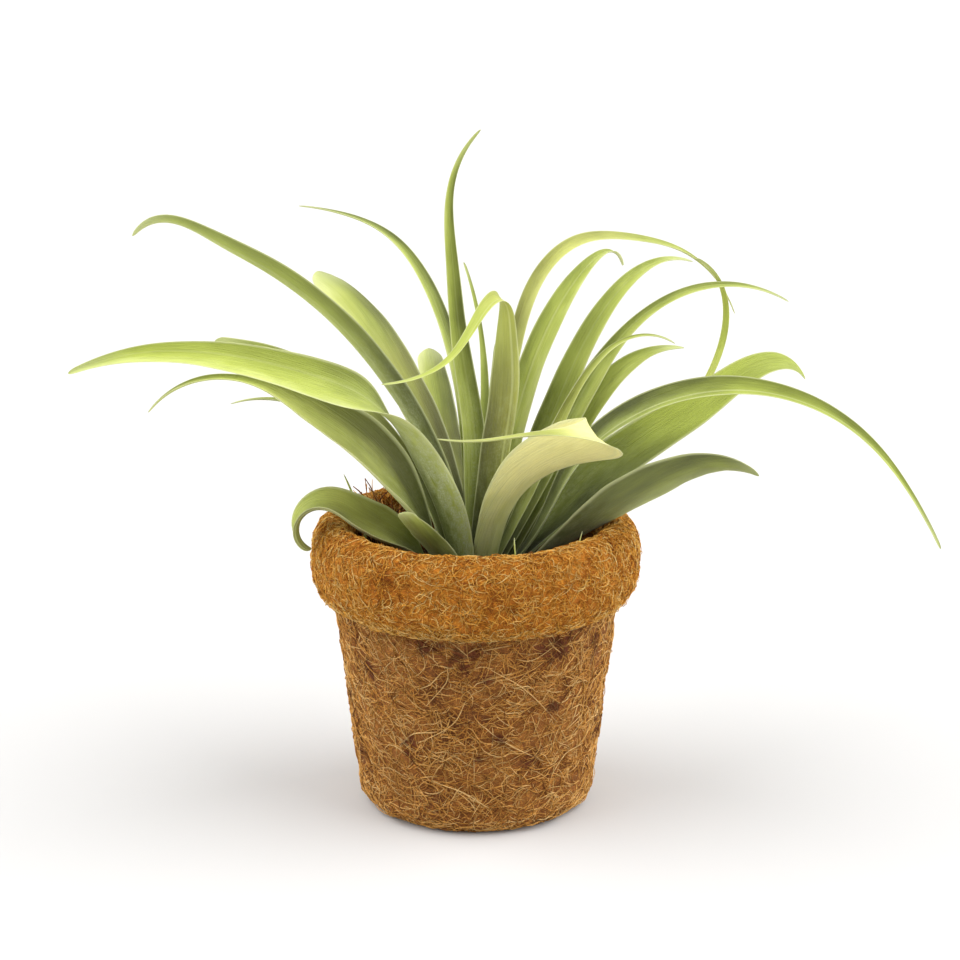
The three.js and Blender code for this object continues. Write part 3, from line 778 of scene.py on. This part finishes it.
def coir(name, stops, shaded_gap, patch_scale):
    """Coconut fibre: a fibre's tone picks its colour, with broad patches, patchy painted gap shade, dark
    stains and fibrous grain.
    """
    f = Finish(name)
    place = f.node("ShaderNodeTexCoord", output="Object")
    tone, spot = f.mark("tone", "Fac"), f.mark("stain", "Fac")
    patches = f.noise(place, patch_scale, 3.0)
    blots = f.noise(place, 260.0, 3.0)
    grain = f.noise(place, 2600.0, 2.0)
    threads = abs(f.noise(place, 420.0, 1.0, 1.5) - 0.5)
    more_threads = abs(f.noise(place, 760.0, 1.0, 1.2) - 0.5)
    thread = 1 - f.step(threads, 0.0, 0.05) * f.step(more_threads, 0.0, 0.06)
    colour = f.ramp(tone + (thread * 0.2 + patches * 0.4 + blots * 0.3 - 0.4), *stops)
    # Painted shade: broad patches take the darker colour of the shaded gaps between fibres.
    colour = f.mix(f.step(patches, 0.5, 0.75) * 0.3, colour, paint(shaded_gap))
    stained = f.step(spot * 0.85 + (blots - 0.5) * 2.2 + (grain - 0.5) * 0.9, 0.28, 0.85)
    colour = f.mix(stained * 0.82, colour, paint("562210"))
    colour = f.shade(colour, 0.7 + grain * 0.6)
    return f.close(colour, 0.85, ((thread, 0.0002), (grain, 0.00006)), {"Specular IOR Level": 0.25})


def plain_finish(name, light, dark, scale):
    """A dull, mottled finish for what is hardly seen."""
    f = Finish(name)
    place = f.node("ShaderNodeTexCoord", output="Object")
    mottle = f.noise(place, scale, 4.0)
    colour = f.mix(mottle, paint(dark), paint(light))
    return f.close(colour, 0.9, ((mottle, 0.0002),), {"Specular IOR Level": 0.2})


BODY_TONES = ((0.0, "5E3412"), (0.25, "A2662A"), (0.5, "D49644"), (0.75, "E8B264"), (1.0, "F4CC88"))
BAND_TONES = ((0.0, "84460E"), (0.25, "BE741E"), (0.5, "E29E36"), (0.75, "F2BC5C"), (1.0, "F8D68A"))
FILLING_TONES = ((0.0, "1E130A"), (0.5, "4A3219"), (0.85, "7A5930"), (1.0, "A98550"))


# ======================== Putting it together ========================

def dress(piece, material, slot, *nodes):
    """Gives a piece its finish and hides the nodes that it stands for. The slot is not used. Everything
    rides on the pot.
    """
    piece.data.materials.append(material)
    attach(piece, "root")
    if nodes:
        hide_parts(*nodes)


skin = leaf_skin()
for number, (leaf_name, leaf) in enumerate(LEAVES.items()):
    dress(blade("blade_" + leaf_name, leaf, number), skin, "leaf_skin", "leaf_" + leaf_name)
for number, (shoot_name, shoot) in enumerate(SHOOTS.items()):
    dress(blade("shoot_" + shoot_name, shoot, 60 + number), skin, "leaf_skin")

# Each coir: its tones, the colour of the painted shade in its gaps, and the scale of its patches.
body_coir = coir("body_coir", BODY_TONES, "8E5C2A", 55.0)
band_felt = coir("band_felt", BAND_TONES, "B8721C", 70.0)
loose_filling = coir("loose_filling", FILLING_TONES, "2A1C0F", 90.0)

outer_wall = smooth_outline(WALL_OUTSIDE, 90)[0]
wall_line = np.vstack([[(0.5, 0), (20, 0), (30, 0)], outer_wall, WALL_LIP, WALL_INSIDE])
dress(turned("pot_wall", wall_line, False, wall_relief, coir_marks(0.12), 3, 2 + len(outer_wall)),
      body_coir, "pot_coir", "coir_pot")

outer_band = smooth_outline(BAND_OUTSIDE, 70)[0]
band_line = np.vstack([outer_band, BAND_LINING])
felt = raise_hem(turned("felt_band", band_line, True, band_relief, coir_marks(0.2), 0, len(outer_band) - 1))
dress(felt, band_felt, "rim_felt", "rim_band")

filling_line = smooth_outline(FILLING_OUTLINE, 90)[0]
last_row = len(filling_line) - 1
dress(turned("packed_fibre", filling_line, False, filling_relief, coir_marks(0.3), 0, last_row),
      loose_filling, "filling_fibre", "filling")

# Fibres: length, depth, arch and radius in millimetres, curl in radians per millimetre, wave in radians. A
# high level keeps them flat, and reach is how far they stay from, or pass, the outline's two ends.
BODY_FIBRE = dict(length=(6, 16), steps=6, curl=0.09, wave=0.35, level=0.5, reach=(0.5, -0.5), arch=0.26,
                  depth=(-0.6, 0.2), radius=(0.12, 0.23), tone=0.54, spread=0.24)
BAND_FIBRE = dict(length=(4, 10), steps=6, curl=0.22, wave=0.5, level=0.2, reach=(-0.9, -0.5), arch=0.3,
                  depth=(-0.25, 0.4), radius=(0.1, 0.19), tone=0.52, spread=0.26)
HEM_FIBRE = dict(length=(3, 8), steps=6, curl=0.2, wave=0.5, level=0.6, reach=(-1.0, 0), arch=0.35,
                 depth=(0, 0.35), radius=(0.1, 0.17), tone=0.68, spread=0.22)
FILLING_FIBRE = dict(length=(6, 20), steps=8, curl=0.05, wave=0.3, level=0.3, reach=(60, -1), arch=0.9,
                     depth=(0, 1.0), radius=(0.12, 0.22), tone=0.4, spread=0.25)
for batch in range(3):
    fibres = strands(f"wall_fibres_{batch + 1}", WALL_OUTSIDE, 5000, BODY_FIBRE, wall_relief, 21 + batch)
    dress(fibres, body_coir, "pot_coir")
for batch in range(3):
    fibres = strands(f"band_fibres_{batch + 1}", BAND_OUTSIDE, 4600, BAND_FIBRE, band_relief, 31 + batch)
    dress(raise_hem(fibres), band_felt, "rim_felt")
dress(raise_hem(strands("hem_fibres", HEM_OUTLINE, 800, HEM_FIBRE, hem_relief, 51)), band_felt, "rim_felt")
dress(straws(), body_coir, "pot_coir")
fibres = strands("filling_fibres", FILLING_OUTLINE, 800, FILLING_FIBRE, filling_relief, 41)
dress(fibres, loose_filling, "filling_fibre")
dress(dry_tuft(), body_coir, "pot_coir")

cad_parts["stem"].data.materials.clear()
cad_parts["stem"].data.materials.append(plain_finish("dry_stem", "8A7A55", "4F4328", 900.0))


# ======================== Floor, light and camera ========================

def aim(thing, place, target):
    """Puts a camera or light at a place and turns it to a target."""
    thing.location = place
    thing.rotation_euler = (Vector(target) - Vector(place)).to_track_quat("-Z", "Y").to_euler()
    bpy.context.scene.collection.objects.link(thing)


def soft_sun(name, azimuth, height, power):
    """A broad, soft light on everything: degrees from the front (right is positive) and up."""
    lamp = bpy.data.lights.new(name, "SUN")
    lamp.energy, lamp.angle = power, math.radians(70)
    turn, rise = math.radians(azimuth), math.radians(height)
    place = (math.sin(turn) * math.cos(rise), -math.cos(turn) * math.cos(rise), math.sin(rise))
    aim(bpy.data.objects.new(name, lamp), place, (0, 0, 0))


def floor():
    """A wide, plain, pale floor."""
    reach = 15.0
    corners = np.array([(-reach, -reach, 0), (reach, -reach, 0), (reach, reach, 0), (-reach, reach, 0)])
    sheet = put("floor", corners, [[0, 1, 2, 3]], [], {})
    f = Finish("floor_paint")
    sheet.data.materials.append(f.close(paint("D3D2D1"), 0.9, (), {"Specular IOR Level": 0.1}))


floor()
soft_sun("right", 82, 38, 2.9)
soft_sun("left", -84, 38, 2.5)

world = bpy.data.worlds.new("studio")
bpy.context.scene.world = world
world.use_nodes = True
world.node_tree.nodes["Background"].inputs["Color"].default_value = (1, 1, 1, 1)
world.node_tree.nodes["Background"].inputs["Strength"].default_value = 0.66
bpy.context.scene.view_settings.view_transform = "Standard"

camera = bpy.data.objects.new("camera", bpy.data.cameras.new("camera"))
camera.data.lens = CAMERA_LENS
elevation = math.radians(CAMERA_ELEVATION)
away = Vector((0, -math.cos(elevation), math.sin(elevation))) * CAMERA_DISTANCE
aim(camera, Vector(CAMERA_TARGET) + away, CAMERA_TARGET)
bpy.context.scene.camera = camera
